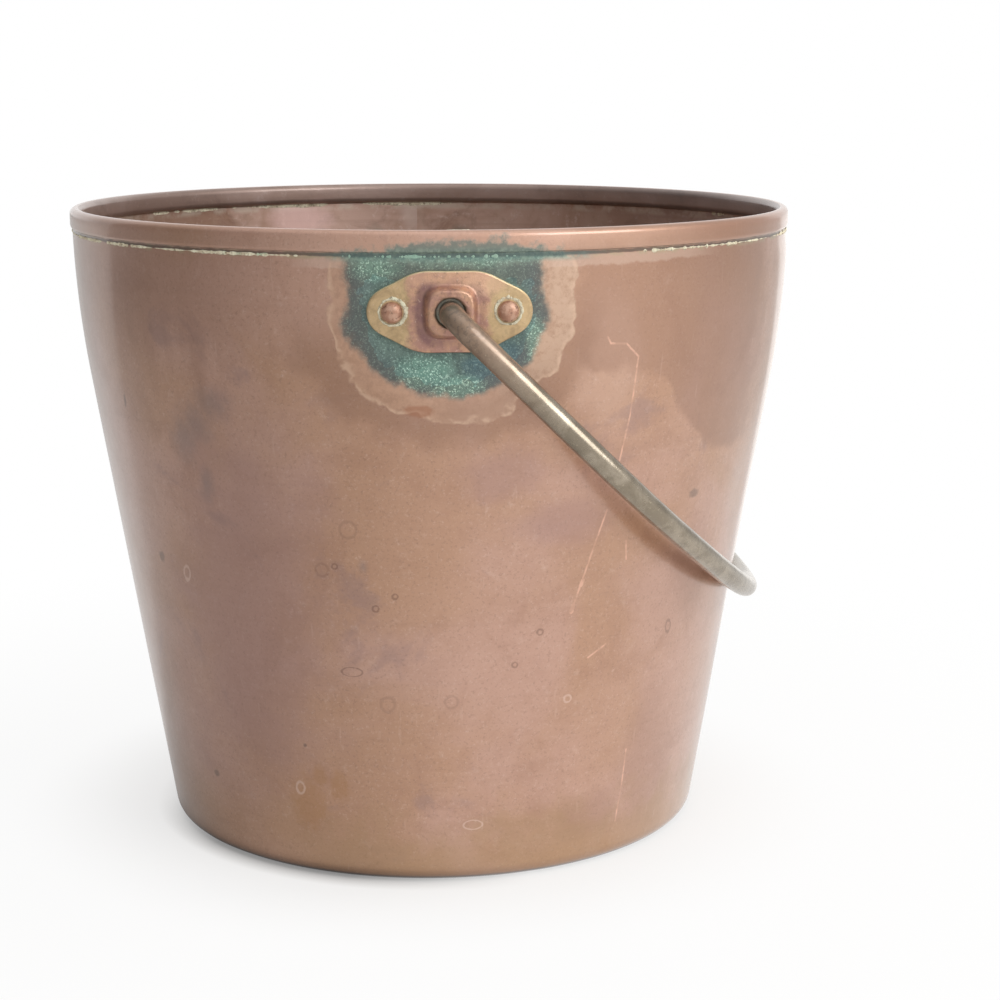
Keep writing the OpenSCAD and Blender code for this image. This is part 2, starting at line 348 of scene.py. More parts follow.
def make_rivet_crust(name, side, turn, look, seed):
    """A ragged ring of dried salts round a rivet head."""
    angles = np.linspace(0, 2 * math.pi, 160, endpoint=False)[None, :]
    t = np.radians(np.linspace(-10, 190, 15))[:, None]
    ring = np.stack([np.cos(angles) * 4, np.sin(angles) * 4, 0 * angles + seed], -1)
    width = 0.24 + 0.74 * fractal(ring, 1.1, 3, seed)
    width = width * (0.85 + 0.3 * np.cos(angles - 2.4 - 0.5 * side))
    r = RIVET_HEAD_R + 0.1 + width * (1 + np.cos(t)) * 0.9
    z = -0.1 + 0.9 * width * np.sin(t)
    points = turned(r, z, angles)
    lumps = fractal(points + seed, 0.5, 2, seed + 3) - 0.5
    points[..., 2] += lumps * 0.5 * (np.sin(t) > 0.2)
    crust = grid(name, points, wrap=True)
    crust.data.transform(rivet_matrix(side, turn, EAR_FACE_R - 0.12))
    return place(crust, "pail", look)


# ---------------------------------------------------------------- the bail
def bail_path():
    """Centre line of the level bail as (reach, sideways) and its direction, from -Y to +Y."""
    crown_r = SHOULDER_R + (ARM_Y - SHOULDER_R) * 5 / 4
    crown_half = math.degrees(math.atan2(4, 3))
    crown_x = REACH - crown_r
    shoulder = (crown_x + (crown_r - SHOULDER_R) * 3 / 5, ARM_Y - SHOULDER_R)
    start = wall_r(EAR_Z + END_R) + END_CLEAR
    pin = np.stack([np.zeros(8), np.linspace(float(start), ARM_Y - ELBOW_R, 8)], -1)
    elbow = arc((ELBOW_R, ARM_Y - ELBOW_R), ELBOW_R, 180, 90, 14)
    arm = np.stack([np.linspace(ELBOW_R, shoulder[0], 26), np.full(26, ARM_Y)], -1)
    bend = arc(shoulder, SHOULDER_R, 90, crown_half, 26)
    crown = arc((crown_x, 0), crown_r, crown_half, 0, 56)
    half = np.vstack([pin, elbow[1:], arm[1:], bend[1:], crown[1:]])
    whole = np.vstack([half * [1, -1], half[-2::-1]])
    direction = np.gradient(whole, axis=0)
    return whole, direction / np.linalg.norm(direction, axis=1)[:, None]


def laid_down(points):
    """Turns level bail points (reach, sideways, up) down to the rest angle."""
    c, s = math.cos(REST_ANGLE), math.sin(REST_ANGLE)
    x, y, z = points[..., 0], points[..., 1], points[..., 2]
    return np.stack([c * x + s * z, y, EAR_Z - s * x + c * z], -1)


def make_bail(look):
    path, direction = bail_path()
    angles = np.linspace(0, 2 * math.pi, 36, endpoint=False)[None, :]
    normal = np.stack([-direction[:, 1], direction[:, 0]], -1)
    run = np.concatenate([[0], np.cumsum(np.linalg.norm(np.diff(path, axis=0), axis=1))])[:, None]
    spot = np.stack([run + 0 * angles, 6 * np.cos(angles) + 0 * run, 6 * np.sin(angles) + 0 * run], -1)
    r = WIRE_R - 0.16 * fractal(spot, 14, 3, 21) - 0.04 * fractal(spot, 2.5, 2, 25)
    side, rise = r * np.cos(angles), r * np.sin(angles)
    points = np.stack([path[:, :1] + normal[:, :1] * side, path[:, 1:] + normal[:, 1:] * side, rise], -1)
    bail = grid("bail_wire", laid_down(points), wrap=True, caps=(True, True))
    return place(bail, "bail", look, ["bail"])


def make_bail_end(name, way, look):
    """The flattened end of the bail behind an ear's pad."""
    start = float(wall_r(EAR_Z + END_R)) + END_CLEAR
    thick = PAD_FACE - PAD_T - END_CLEAR - start
    edge = arc((END_R - thick / 2, thick / 2), thick / 2, -90, 90, 8)
    profile = np.vstack([[[1, 0]], edge, [[1, thick]]])
    angles = np.linspace(0, 2 * math.pi, 48, endpoint=False)[None, :]
    points = turned(profile[:, :1], profile[:, 1:], angles)
    x, z, y = points[..., 0], points[..., 1], start + points[..., 2]
    end = grid(name, np.stack([x, way * y, EAR_Z + z], -1), wrap=True, caps=(True, True))
    return place(end, "bail", look)


# ---------------------------------------------------------------- deposits
def patch_distance(x, z):
    """1 at the edge of the verdigris round an ear, less inside. z is from the ear's middle."""
    across = np.where(x < 0, 30.5, 28.6)
    up = np.where(z > 0, 70.0, 25.5)
    return np.sqrt((x / across)**2 + (z / up)**2)


def make_verdigris(name, turn, look, seed):
    """A crust that rises out of the copper round an ear, ragged where it sinks back under it."""
    xs = np.arange(-36, 36.1, 0.33)
    zs = np.arange(-30, BEAD_Z - EAR_Z - 0.3, 0.33)
    x, z = np.meshgrid(xs, zs)
    spot = np.stack([x, z, 0 * x + 11 * seed], -1)
    edge = patch_distance(x, z) + 0.3 * (fractal(spot, 9, 3, seed) - 0.5)
    body = smooth(-edge, -1.0, -0.78) * (0.25 + 0.75 * smooth(-z, -14, -6))
    grains = fractal(spot, 1.1, 2, seed + 4)
    clumps = fractal(spot, 5, 3, seed + 7)
    out = body * (0.10 + 0.34 * grains * smooth(clumps, 0.35, 0.6)) - 0.10 - 0.12 * (1 - body)
    crust = grid(name, on_wall(x, z, out), keep=out > -0.02)
    crust.data.transform(Matrix.Rotation(turn, 4, "Z"))
    return place(crust, "pail", look)


def make_seam_deposit(look):
    """Broken line of dried salts along the groove under the rim."""
    angles = np.linspace(0, 2 * math.pi, 2600, endpoint=False)[None, :]
    ring = np.stack([np.sin(angles) * COLLAR_R, np.cos(angles) * COLLAR_R, 0 * angles], -1)
    turn = np.degrees((angles + math.pi) % (2 * math.pi) - math.pi)
    left = smooth(turn, -84, -76) * smooth(-turn, 18, 21)
    broken = smooth(fractal(ring, 22, 4, 31) + 0.24 * left, 0.36, 0.56)
    broken = broken * (1 - left * smooth(-fractal(ring, 5, 3, 38), -0.34, -0.28))
    near_ear = np.exp(-(np.abs(np.sin(angles)) * COLLAR_R / 32)**2)
    grains = smooth(fractal(ring, 1.1, 3, 35), 0.3, 0.75)
    width = (0.12 + 0.24 * left + (0.6 - 0.32 * left) * grains) * np.clip(broken + 0.8 * near_ear, 0, 1)
    t = np.radians(np.linspace(-100, 60, 9))[:, None]
    r = COLLAR_R - 0.22 + 0.55 * width * np.cos(t)
    z = BEAD_Z - 0.3 - 0.15 * left + 1.0 * width * np.sin(t)
    line = grid("seam_deposit", turned(r, z, angles), wrap=True)
    return place(line, "pail", look)


def make_ledge_deposit(look):
    """Pale residue under the bead inside the pail."""
    angles = np.linspace(0, 2 * math.pi, 1200, endpoint=False)[None, :]
    ring = np.stack([np.sin(angles) * 117, np.cos(angles) * 117, 0 * angles + 40], -1)
    broken = smooth(fractal(ring, 30, 4, 41), 0.45, 0.62)
    width = (0.2 + 0.9 * fractal(ring, 2.6, 3, 45)) * broken
    t = np.radians(np.linspace(75, 285, 9))[:, None]
    r = COLLAR_R - SHEET_ACROSS + 0.12 + 0.45 * width * np.cos(t)
    z = BEAD_Z - 0.5 + 1.3 * width * np.sin(t)
    line = grid("ledge_deposit", turned(r, z, angles), wrap=True)
    return place(line, "pail", look)


def make_rim_salts(look):
    """A few white lumps on the inner shoulder of the bead, above the front ear."""
    angles = np.radians(np.linspace(-0.9, 3.3, 64))[None, :]
    t = np.radians(np.linspace(98, 178, 24))[:, None]
    spot = np.stack([angles * RIM_R + 0 * t, BEAD_R * t + 0 * angles, 0 * t * angles], -1)
    middle = 1 - (np.degrees(angles) - 1.2)**2 / 2.1**2 - (np.degrees(t) - 138)**2 / 40**2
    out = (0.35 + 0.95 * fractal(spot, 1.6, 3, 52)) * smooth(middle, 0.0, 0.5) - 0.15
    out = out * (0.4 + 0.6 * smooth(fractal(spot, 2.6, 2, 55), 0.3, 0.5))
    r = BEAD_CENTRE + (BEAD_R + out) * np.cos(t)
    z = np.minimum(HEIGHT - BEAD_R + (BEAD_R + out) * np.sin(t), HEIGHT - 0.02)
    lumps = grid("rim_salts", turned(r, z, angles), keep=out > 0.0)
    return place(lumps, "pail", look)


# ---------------------------------------------------------------- materials
def linear(r, g, b):
    """An 8-bit screen colour as the shader's linear colour."""
    value = [c / 255 for c in (r, g, b)]
    return [c / 12.92 if c <= 0.04045 else ((c + 0.055) / 1.055)**2.4 for c in value] + [1.0]


class Value:
    """What a shader's node gives. The usual signs join it to other values and to plain numbers."""

    def __init__(self, net, socket):
        self.net = net
        self.socket = socket

    def __add__(self, other):
        return self.net.math("ADD", self, other)

    def __radd__(self, other):
        return self.net.math("ADD", other, self)

    def __sub__(self, other):
        return self.net.math("SUBTRACT", self, other)

    def __rsub__(self, other):
        return self.net.math("SUBTRACT", other, self)

    def __mul__(self, other):
        return self.net.math("MULTIPLY", self, other)

    def __truediv__(self, other):
        return self.net.math("DIVIDE", self, other)

    def __pow__(self, other):
        return self.net.math("POWER", self, other)

    def __abs__(self):
        return self.net.math("ABSOLUTE", self)


class Net:
    """A tree of shader nodes, with short ways to add the kinds used here."""

    def __init__(self, tree):
        self.tree = tree

    def put(self, socket, value):
        if isinstance(value, Value):
            self.tree.links.new(value.socket, socket)
        else:
            socket.default_value = value

    def node(self, kind, inputs, output=0, **settings):
        """Adds a node, with inputs and output by name or number, and gives that output."""
        node = self.tree.nodes.new("ShaderNode" + kind)
        for name, value in settings.items():
            setattr(node, name, value)
        for name, value in inputs.items():
            self.put(node.inputs[name], value)
        return Value(self, node.outputs[output])

    def math(self, operation, a, b=0.0, clamp=False):
        return self.node("Math", {0: a, 1: b}, operation=operation, use_clamp=clamp)

    def vector_math(self, operation, a, b=(0, 0, 0), output=0):
        return self.node("VectorMath", {0: a, 1: b}, output, operation=operation)

    def vector(self, x, y, z=0.0):
        return self.node("CombineXYZ", {0: x, 1: y, 2: z})

    def parts(self, vector):
        """A vector's x, y and z."""
        split = self.tree.nodes.new("ShaderNodeSeparateXYZ")
        self.put(split.inputs[0], vector)
        return [Value(self, output) for output in split.outputs]

    def ramp(self, value, lo, hi, start=0.0, end=1.0, kind="LINEAR"):
        """Goes from start, where the value is lo, to end, where it is hi."""
        return self.node("MapRange", {0: value, 1: lo, 2: hi, 3: start, 4: end}, interpolation_type=kind)

    def step(self, value, lo, hi):
        """Smooth rise from 0 at lo to 1 at hi. lo may be the larger, for a fall."""
        start, end = (1.0, 0.0) if lo > hi else (0.0, 1.0)
        return self.ramp(value, min(lo, hi), max(lo, hi), start, end, "SMOOTHSTEP")

    def mix(self, amount, a, b):
        """Goes from colour a to colour b. Each is a node's colour or an 8-bit (r, g, b)."""
        a, b = [colour if isinstance(colour, Value) else linear(*colour) for colour in (a, b)]
        return self.node("Mix", {0: amount, 6: a, 7: b}, 2, data_type="RGBA")

    def nearest(self, *distances):
        best = distances[0]
        for other in distances[1:]:
            best = self.math("MINIMUM", best, other)
        return best


class Look(Net):
    """A material under construction. Positions are the piece's own, in millimetres."""

    def __init__(self, name, metallic, roughness=0.5):
        self.material = bpy.data.materials.new(name)
        self.material.use_nodes = True
        super().__init__(self.material.node_tree)
        self.shader = self.tree.nodes["Principled BSDF"].inputs
        self.put(self.shader["Metallic"], metallic)
        self.put(self.shader["Roughness"], roughness)
        metres = self.node("TexCoord", {}, "Object")
        self.position = self.node("VectorMath", {0: metres, "Scale": 1 / MM}, operation="SCALE")
        self.x, self.y, self.z = self.parts(self.position)

    def noise(self, size, detail=4.0, roughness=0.55, bend=0.0, stretch=(1, 1, 1), shift=0.0):
        """Noise from 0 to 1 with features `size` mm across."""
        spot = {"Vector": self.position, "Scale": stretch, "Location": (shift, shift * 0.7, -shift)}
        spot = self.node("Mapping", spot, vector_type="POINT")
        return self.node("TexNoise", {"Vector": spot, "Scale": 1 / size, "Detail": detail,
                                      "Roughness": roughness, "Distortion": bend}, "Fac")

    def base(self, amount, a, b):
        """Starts the colour as a mix of two."""
        self.colour = self.mix(amount, a, b)

    def lay(self, amount, colour):
        """Lays another colour over the one so far."""
        self.colour = self.mix(amount, self.colour, colour)

    def tint(self, factor):
        """Multiplies the colour so far by a linear factor."""
        self.colour = self.node("Mix", {0: 1.0, 6: self.colour, 7: factor}, 2, data_type="RGBA",
                                blend_type="MULTIPLY")

    def varnish(self, weight, roughness):
        """A thin film of grease and lacquer, which turns glossy and grey where it is seen edge on."""
        self.put(self.shader["Coat Weight"], weight)
        self.put(self.shader["Coat Roughness"], roughness)
        self.put(self.shader["Coat IOR"], 1.65)

    def finish(self, roughness, bump, depth):
        """Connects the colour, any roughness, and the bump, whose height is `depth` mm."""
        self.put(self.shader["Base Color"], self.colour)
        if roughness is not None:
            self.put(self.shader["Roughness"], roughness)
        normal = self.node("Bump", {"Strength": 1.0, "Distance": depth * MM, "Height": bump}, "Normal")
        self.put(self.shader["Normal"], normal)
        return self.material

    # ---- shapes on the pail's own surface
    def lay_out(self):
        """Adds the angle from the front in degrees, the unrolled wall, and the place round an ear."""
        around = self.math("ARCTAN2", self.x, self.y * -1.0)
        flat_r = self.math("SQRT", self.x * self.x + self.y * self.y)
        self.degrees = around * (180 / math.pi)
        self.flat = self.vector(around * flat_r, self.z)
        self.ear_x = self.x * self.math("SIGN", self.y * -1.0)
        self.ear_z = self.z - EAR_Z

    def line(self, a, b):
        """Distance in mm along the wall from the straight mark between two (degrees, z) points."""
        start = unrolled(*a)
        run = unrolled(*b) - start
        from_start = self.vector_math("SUBTRACT", self.flat, list(start))
        along = self.vector_math("DOT_PRODUCT", from_start, list(run / run.dot(run)), 1)
        along = self.math("ADD", along, 0.0, clamp=True)
        closest = self.node("VectorMath", {0: list(run), "Scale": along}, operation="SCALE")
        return self.vector_math("DISTANCE", from_start, closest, 1)

    def path(self, *points):
        """Distance in mm along the wall from the bent mark through (degrees, z) points."""
        return self.nearest(*[self.line(a, b) for a, b in zip(points, points[1:])])

    def oval(self, place_at, centre, wide, high):
        """1 at the edge of an oval spot, less inside."""
        off = self.vector_math("SUBTRACT", place_at, centre)
        off = self.vector_math("MULTIPLY", off, (1 / wide, 1 / high, 1))
        return self.vector_math("LENGTH", off, output=1)

    def blob(self, degrees, z, wide, high):
        """An oval spot on the wall."""
        return self.oval(self.flat, list(unrolled(degrees, z)), wide, high)

    def by_ear(self, x, z, wide, high):
        """An oval spot near the ear, with x and z from the ear's middle."""
        return self.oval(self.vector(self.ear_x, self.ear_z), (x, z, 0), wide, high)

    def ring(self, degrees, z, radius, rise=1.0):
        """Distance in mm along the wall from a ring-shaped mark, 1 / rise as high as it is wide."""
        return abs(self.blob(degrees, z, 1, 1 / rise) - radius)

    def rings(self, *marks):
        return self.nearest(*[self.ring(*mark) for mark in marks])

    def blobs(self, *marks):
        return self.nearest(*[self.blob(*mark) for mark in marks])

    def spots(self, *marks):
        """The nearest of several oval spots near the ear."""
        return self.nearest(*[self.by_ear(*mark) for mark in marks])

    def patch(self):
        """1 at the edge of the verdigris round the ear, less inside."""
        across = self.step(self.ear_x, -2.0, 2.0) * -1.9 + 30.5
        up = self.step(self.ear_z, -2.0, 2.0) * 45.0 + 25.5
        a = self.ear_x / across
        b = self.ear_z / up
        return self.math("SQRT", a * a + b * b)


def unrolled(degrees, z):
    """A point on the wall as millimetres round and up."""
    return np.array([math.radians(degrees) * float(wall_r(z)), z, 0])


BROWN = (158, 113, 90)
UMBER = (120, 84, 66)
OCHRE = (176, 142, 98)
PALE = (232, 204, 190)
MAUVE = (150, 122, 122)


def verdigris_colour(look, edge):
    """Blue-green salts: slate at the patch's edge, grey-teal within, and minty where grains are thick."""
    colour = look.mix(look.step(look.noise(7, 4, 0.6, 0.4), 0.34, 0.66), (94, 114, 108), (118, 140, 131))
    soft = (look.noise(6, 4, 0.6, shift=77) - 0.5) * 1.2
    blue = look.step(look.by_ear(15, -17, 13, 9) + soft, 1.15, 0.6)
    colour = look.mix(blue * 0.75, colour, (84, 112, 122))
    colour = look.mix(look.step(edge, 0.66, 0.95) * 0.85, colour, (94, 106, 108))
    colour = look.mix(look.step(edge + soft * 0.1, 0.88, 1.02) * 0.6, colour, (128, 116, 104))
    high = look.step(look.ear_z + soft * 3, 12.5, 16.5)
    colour = look.mix(high * 0.65, colour, (182, 192, 178))
    zones = look.spots((6, 17.5, 27, 4.2), (-7, -17.5, 8, 5), (2, -22, 8, 3.5), (-22, 13, 7, 4),
                       (25, -9, 3, 6))
    thick = look.step(zones + soft, 1.4, 0.4)
    colour = look.mix(thick * 0.58, colour, (136, 186, 168))
    pits = look.step(look.noise(1.1, 3, 0.75, shift=29), 0.5, 0.64)
    colour = look.mix(pits * 0.45, colour, (70, 88, 88))
    grain = look.step(look.noise(0.6, 2, 0.8, shift=9), 0.54, 0.64)
    grain = grain * (0.22 + thick * 0.78)
    return look.mix(grain, colour, (214, 246, 230))


def water_marks(look, fuzz):
    """Dried drops: a few pale rings, small dark rings and dark spots."""
    rings = look.rings((-49.5, 96.7, 1.5, 0.65), (-28.9, 30, 1.4, 0.7), (4.8, 19.7, 3, 1.9), (22, 60, 1.2),
                       (140, 82, 2.4, 0.7), (-118, 48, 2, 0.8), (-170, 105, 2.6, 0.6))
    look.lay(look.step(rings + fuzz, 0.55, 0.1) * 0.5, PALE)
    rings = look.rings((-12.1, 92.5, 0.9), (-8.8, 96.6, 0.8), (-18.6, 105.6, 0.8), (15.7, 83.5, 0.9),
                       (11.5, 73.3, 0.8), (-16.8, 71.4, 3.3, 2.2), (44.1, 77.8, 1.2, 0.6), (120, 120, 1.2),
                       (-155, 66, 1), (170, 40, 1.1))
    look.lay(look.step(rings + fuzz, 0.5, 0.1) * 0.5, UMBER)
    faint = look.rings((-16, 117.5, 2.6), (-10.7, 61, 2.2, 0.9), (-20.8, 104.2, 2), (0.5, 62, 2),
                       (80, 70, 2.6))
    look.lay(look.step(faint + fuzz, 0.7, 0.1) * 0.22, UMBER)
    spots = look.blobs((-50.8, 27.8, 1.5, 1.3), (-56.8, 99.9, 1.8, 2), (-27, 45, 0.7, 0.7),
                       (-60, 150, 0.9, 2.4), (150, 60, 2, 3), (-120, 90, 2.4, 2), (100, 140, 2, 2.4),
                       (45.7, 121.5, 2.6, 1.6))
    look.lay(look.step(spots + fuzz, 1.2, 0.5) * 0.5, (86, 72, 62))


def scratches(look, fuzz):
    """1 on the scratches that go through to brighter metal, broken along their length."""
    hook = look.path((23.5, 175), (24.1, 173), (26.8, 172.6), (29.1, 168.4), (28.9, 160), (28.6, 150),
                     (27.6, 136.5))
    tail = look.nearest(look.path((26.2, 121), (24.3, 109), (22.3, 96), (21.2, 89.4)),
                        look.line((30.7, 110), (31.2, 104)), look.line((22.9, 99), (22.6, 97.5)) - 0.35,
                        look.line((21.5, 91), (21.2, 89.2)) - 0.45)
    others = look.nearest(look.path((37.1, 38), (37.2, 26), (36.7, 13)), look.line((28.9, 76.6), (25.4, 73)),
                          look.path((160, 70), (167, 88), (171, 96)), look.line((-140, 132), (-133, 118)),
                          look.line((-85, 60), (-84, 40)), look.line((205, 40), (214, 46)))
    cuts = look.nearest(hook, tail, others)
    broken = 0.25 + look.step(look.noise(5, 3, 0.6, shift=88), 0.4, 0.6) * 0.75
    return look.step(cuts + fuzz * 0.4, 0.48, 0.14) * broken


def ear_stains(look, patch):
    """Brown bands and a pale scalloped halo outside the verdigris round an ear."""
    wave = (look.noise(9, 2.5, 0.45, shift=17) - 0.5) * 0.42
    below = look.step(look.ear_z, 8, -18)
    band = look.step(patch + wave, 1.75, 1.4) * look.step(patch, 1, 1.2)
    look.lay(band * below * 0.5, (148, 108, 84))
    wide = patch + wave - look.step(look.ear_x, 0, 26) * 0.08
    wide = wide + look.step(look.ear_x, -10, -26) * look.step(look.ear_z, -22, -8) * 0.07
    below = look.step(look.ear_z, -17, -28) * look.step(abs(look.ear_x), 25, 10)
    wide = wide - below * 0.08
    on_wall = look.step(look.z, BEAD_Z - 0.1, BEAD_Z - 0.7)
    halo = look.step(wide, 1.235, 1.205) * on_wall
    hue = look.mix(look.step(look.ear_x, -12, 22), (206, 166, 138), (214, 184, 160))
    mottle = look.step(look.noise(3, 5, 0.78, shift=66), 0.42, 0.66)
    hue = look.mix(mottle * 0.65, hue, (172, 134, 108))
    low = look.step(look.ear_z, -18, -27) * look.step(look.ear_x, -8, 2)
    hue = look.mix(low * 0.65, hue, (176, 138, 116))
    side = look.step(look.ear_x, 22, 30) * look.step(look.ear_z, -16, -6)
    look.lay(halo * (0.62 + side * 0.12), hue)
    # a pale strip runs on under the rim from the halo, further to the right than to the left
    strip = look.z + (look.noise(5, 4, 0.65, shift=71) - 0.5) * 3
    strip = strip - look.step(look.degrees, 20, 42) * 0.8
    strip = look.step(strip, 195.9, 196.8) * on_wall * look.step(patch, 0.95, 1.1)
    strip = strip * look.step(look.degrees, -24, -18) * look.step(look.degrees, 46, 36)
    look.lay(strip * 0.4, (224, 198, 182))
    rim = halo * look.step(wide, 1.15, 1.21)
    rim = rim * look.step(look.noise(4, 3, 0.6, shift=68), 0.35, 0.6)
    look.lay(rim * 0.5, (232, 200, 174))
    spot = look.step(look.by_ear(-9, -29.5, 5, 2.4) + look.noise(3, 3, shift=4) * 0.8, 1.4, 1)
    look.lay(spot * 0.6, (168, 108, 72))


def salts_edge(look, patch):
    """The patch's distance with the slow waves and small notches of its real edge."""
    waves = (look.noise(9, 3, 0.5, shift=18) - 0.5) * 0.26
    notches = (look.noise(2.4, 3, 0.6, shift=19) - 0.5) * 0.1
    return patch + (waves + notches)


def ears_and_rim(look, ahead):
    """The verdigris round each ear, the seam and the rim. Gives 1 where salts make the copper dull."""
    patch = look.patch()
    ear_stains(look, patch)
    ragged = salts_edge(look, patch)
    salts = look.step(ragged, 1.05, 0.94) * look.step(look.z, BEAD_Z + 0.2, BEAD_Z - 0.3)
    look.lay(salts * 0.95, verdigris_colour(look, ragged))
    # the seam under the bead, with a painted shadow line in its groove, and the green on its face
    seam_noise = look.noise(8, 5, 0.65, shift=61)
    seam = look.step(abs(look.z - (BEAD_Z - 0.3)), 1.5, 0.4) * look.step(seam_noise, 0.44, 0.6)
    look.lay(seam * 0.6, (176, 168, 132))
    # painted shade: a dark line along the groove at the foot of the bead
    gap = look.z + (look.noise(3, 3, shift=62) - 0.5) * 0.8
    gap = look.step(abs(gap - (BEAD_Z + 0.1)), 0.7, 0.25)
    look.lay(gap * 0.75, (72, 60, 52))
    near = abs(look.ear_x - 3)
    wander = look.z - look.noise(7, 5, 0.65, shift=21) * 12
    wander = wander + look.step(near, 13, 21) * 2.4
    wander = wander + look.step(near, 20, 44) * 4
    wander = wander + (look.noise(1.6, 3, 0.7, shift=24) - 0.5) * 2.4
    green = look.step(wander, 199.9, 197.2) * look.step(look.z, BEAD_Z - 2.5, BEAD_Z - 0.5)
    green = green * look.step(near, 44, 30)
    teal = look.mix(look.step(look.noise(1.5, 4, 0.7, shift=27), 0.42, 0.62), (96, 138, 134),
                    (146, 180, 168))
    teal = look.mix(look.step(look.z, BEAD_Z + 3.2, BEAD_Z + 0.6), (128, 144, 136), teal)
    look.lay(green * 0.85, teal)
    line = look.step(near, 46, 34) * look.step(abs(look.z - BEAD_Z), 1, 0.2)
    look.lay(line * 0.7, (84, 104, 100))
    # the rim is rubbed brighter
    rim = look.step(look.z, BEAD_Z + 0.4, BEAD_Z + 1.4) * (0.2 + look.noise(9, 4, shift=12))
    rim = rim * (0.45 + look.step(look.degrees, -30, 5) * 0.75)
    rim = rim * (0.1 + look.step(look.degrees, 48, 26) * 0.9)
    rim = rim * ahead
    warm = look.step(look.z, BEAD_Z + 0.4, BEAD_Z + 1.4) * look.step(look.degrees, 28, 50)
    warm = warm * ahead
    look.lay(warm * 0.45, (176, 128, 98))
    look.lay(rim * (1 - green) * 0.4, (222, 184, 162))
    # pale on top of the far bead: partly dust, partly a painted highlight
    far_side = look.math("MAXIMUM", look.step(look.degrees, -132, -150), look.step(look.degrees, 158, 176))
    dust_and_highlight = look.step(look.z, HEIGHT - 2.4, HEIGHT - 0.9) * far_side
    dust_and_highlight = dust_and_highlight * (0.45 + look.noise(5, 4, 0.65, shift=73))
    look.lay(dust_and_highlight * 0.85, (230, 212, 204))
    return look.math("MAXIMUM", salts, green)

